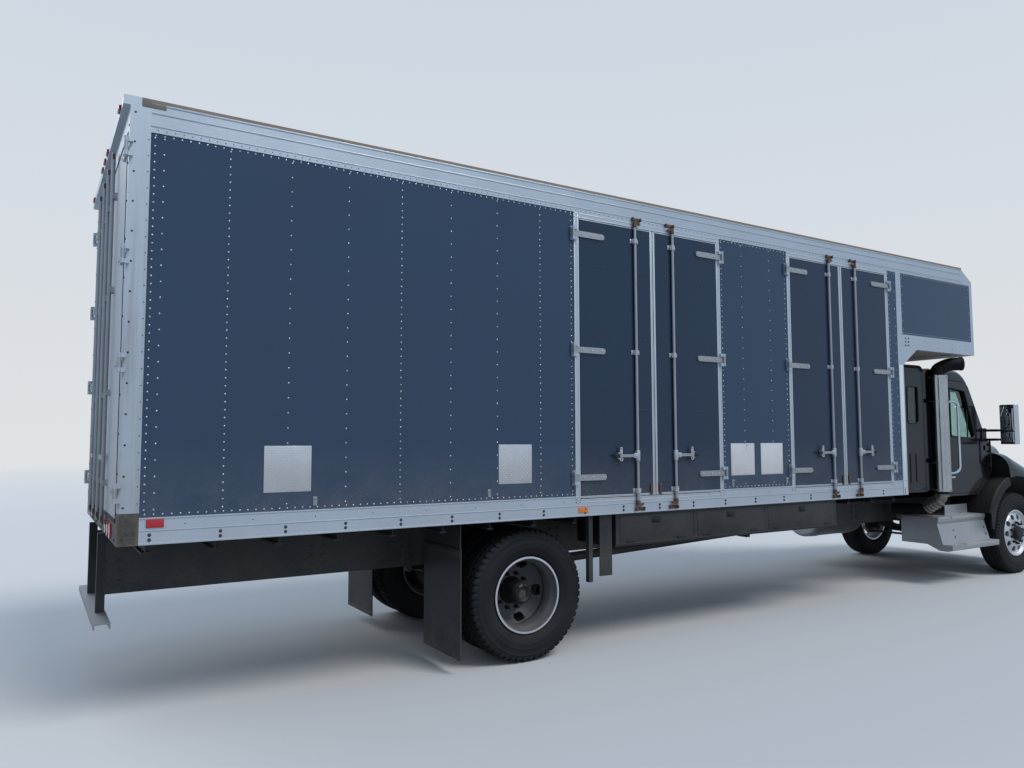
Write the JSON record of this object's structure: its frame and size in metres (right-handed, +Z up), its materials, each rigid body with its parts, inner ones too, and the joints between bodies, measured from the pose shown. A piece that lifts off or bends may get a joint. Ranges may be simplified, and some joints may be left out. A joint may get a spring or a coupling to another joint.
{
  "type": "moving van truck",
  "caption": "Straight moving van truck: sleeper cab, riveted cargo body with attic, hinged side and rear doors, tilting hood, steered front wheels.",
  "frame": {"origin": "on the ground, at the middle of the overall length and width", "axes": "+X forward, +Y to the truck's left, +Z up"},
  "size_m": [11.95, 2.76, 3.9],
  "materials": {
    "body_panel": "gloss",
    "rail_aluminium": "satin",
    "chassis_black": "satin",
    "cab_paint": "gloss",
    "rear_door_skin": "satin",
    "glass": "polished",
    "chrome": "polished",
    "polished_wheel": "polished",
    "steel_wheel": "satin",
    "tyre": "matte",
    "tread_aluminium": "satin",
    "galvanised": "satin",
    "flap_rubber": "matte",
    "seat_fabric": "matte",
    "dash_plastic": "matte",
    "engine_iron": "matte",
    "roof_aluminium": "satin",
    "deck_wood": "satin",
    "attic_lining": "matte",
    "lamp_lens": "gloss"
  },
  "bodies": {
    "chassis": {"frame_rails": "chassis_black", "crossmembers": "chassis_black", "body_sills": "chassis_black", "floor_bearers": "chassis_black", "leaf_springs": "chassis_black", "front_axle": "chassis_black", "rear_axle": "chassis_black", "drive_shaft": "chassis_black", "engine_block": "engine_iron", "fuel_tank": "tread_aluminium", "step_box": "tread_aluminium", "belly_boxes": "chassis_black", "mud_flaps": "flap_rubber", "underride_bumper": "galvanised", "front_bumper": "chrome", "exhaust_stack": "chrome", "cargo_floor": "deck_wood", "cargo_wall_right": "body_panel", "cargo_wall_left": "body_panel", "side_rails_right": "rail_aluminium", "side_rails_left": "rail_aluminium", "cargo_front_wall": "body_panel", "attic_nose": "body_panel", "cargo_roof": "roof_aluminium", "rear_frame": "rail_aluminium", "cab_shell": "cab_paint", "sleeper_shell": "cab_paint", "cab_glass": "glass", "seats": "seat_fabric", "dashboard": "dash_plastic", "quarter_fenders": "cab_paint", "side_hangers": "chassis_black", "roof_lamps": "lamp_lens", "tail_lamps": "lamp_lens"},
    "knuckle_right": {"knuckle_right": "chassis_black"},
    "knuckle_left": {"knuckle_left": "chassis_black"},
    "tie_rod": {"tie_rod": "chassis_black"},
    "front_wheel_right": {"tyre_front_right": "tyre", "wheel_front_right": "polished_wheel"},
    "front_wheel_left": {"tyre_front_left": "tyre", "wheel_front_left": "polished_wheel"},
    "rear_wheels_right": {"tyres_rear_right": "tyre", "wheels_rear_right": "steel_wheel"},
    "rear_wheels_left": {"tyres_rear_left": "tyre", "wheels_rear_left": "steel_wheel"},
    "hood": {"hood": "cab_paint", "grille": "chrome", "headlamps": "lamp_lens"},
    "cab_door_right": {"cab_door_right": "cab_paint", "door_glass_right": "glass", "mirror_right": "dash_plastic"},
    "cab_door_left": {"cab_door_left": "cab_paint", "door_glass_left": "glass", "mirror_left": "dash_plastic"},
    "rear_door_right": {"rear_door_right": "rear_door_skin"},
    "rear_door_left": {"rear_door_left": "rear_door_skin"},
    "side_door_rear_aft": {"side_door_rear_aft": "body_panel"},
    "side_door_rear_fore": {"side_door_rear_fore": "body_panel"},
    "side_door_front_aft": {"side_door_front_aft": "body_panel"},
    "side_door_front_fore": {"side_door_front_fore": "body_panel"}
  },
  "joints": [
    {"name": "steer_right", "type": "hinge", "parent": "chassis", "child": "knuckle_right", "pos_m": [4.825, -0.86, 0.526], "axis": [0, 0, 1], "range_deg": [-36, 36]},
    {"name": "steer_left", "type": "hinge", "parent": "chassis", "child": "knuckle_left", "pos_m": [4.825, 0.86, 0.526], "axis": [0, 0, 1], "range_deg": [-36, 36]},
    {"name": "tie_rod_pivot", "type": "hinge", "parent": "knuckle_right", "child": "tie_rod", "pos_m": [4.655, -0.86, 0.3785], "axis": [0, 0, 1], "range_deg": [-36, 36]},
    {"name": "front_wheel_right_spin", "type": "hinge", "parent": "knuckle_right", "child": "front_wheel_right", "pos_m": [4.825, -1.03, 0.526], "axis": [0, 1, 0], "continuous": true},
    {"name": "front_wheel_left_spin", "type": "hinge", "parent": "knuckle_left", "child": "front_wheel_left", "pos_m": [4.825, 1.03, 0.526], "axis": [0, 1, 0], "continuous": true},
    {"name": "rear_wheels_right_spin", "type": "hinge", "parent": "chassis", "child": "rear_wheels_right", "pos_m": [-2.911, -0.885, 0.526], "axis": [0, 1, 0], "continuous": true},
    {"name": "rear_wheels_left_spin", "type": "hinge", "parent": "chassis", "child": "rear_wheels_left", "pos_m": [-2.911, 0.885, 0.526], "axis": [0, 1, 0], "continuous": true},
    {"name": "hood_tilt", "type": "hinge", "parent": "chassis", "child": "hood", "pos_m": [5.945, 0, 0.775], "axis": [0, 1, 0], "range_deg": [0, 60]},
    {"name": "cab_door_right_hinge", "type": "hinge", "parent": "chassis", "child": "cab_door_right", "pos_m": [4.493, -1.026, 1.55], "axis": [0, 0, 1], "range_deg": [0, 70]},
    {"name": "cab_door_left_hinge", "type": "hinge", "parent": "chassis", "child": "cab_door_left", "pos_m": [4.493, 1.026, 1.55], "axis": [0, 0, -1], "range_deg": [0, 70]},
    {"name": "rear_door_right_hinge", "type": "hinge", "parent": "chassis", "child": "rear_door_right", "pos_m": [-5.925, -1.325, 2.5], "axis": [0, 0, 1], "range_deg": [0, 270]},
    {"name": "rear_door_left_hinge", "type": "hinge", "parent": "chassis", "child": "rear_door_left", "pos_m": [-5.925, 1.325, 2.5], "axis": [0, 0, -1], "range_deg": [0, 270]},
    {"name": "side_door_rear_aft_hinge", "type": "hinge", "parent": "chassis", "child": "side_door_rear_aft", "pos_m": [-2.543, -1.318, 2.5], "axis": [0, 0, -1], "range_deg": [0, 180]},
    {"name": "side_door_rear_fore_hinge", "type": "hinge", "parent": "chassis", "child": "side_door_rear_fore", "pos_m": [-0.783, -1.318, 2.5], "axis": [0, 0, 1], "range_deg": [0, 180]},
    {"name": "side_door_front_aft_hinge", "type": "hinge", "parent": "chassis", "child": "side_door_front_aft", "pos_m": [0.147, -1.318, 2.5], "axis": [0, 0, 1], "range_deg": [-180, 0]},
    {"name": "side_door_front_fore_hinge", "type": "hinge", "parent": "chassis", "child": "side_door_front_fore", "pos_m": [1.912, -1.318, 2.5], "axis": [0, 0, 1], "range_deg": [0, 180]}
  ],
  "couplings": [
    {"joint": "steer_left", "follows": "steer_right", "ratio": 1},
    {"joint": "tie_rod_pivot", "follows": "steer_right", "ratio": -1}
  ]
}
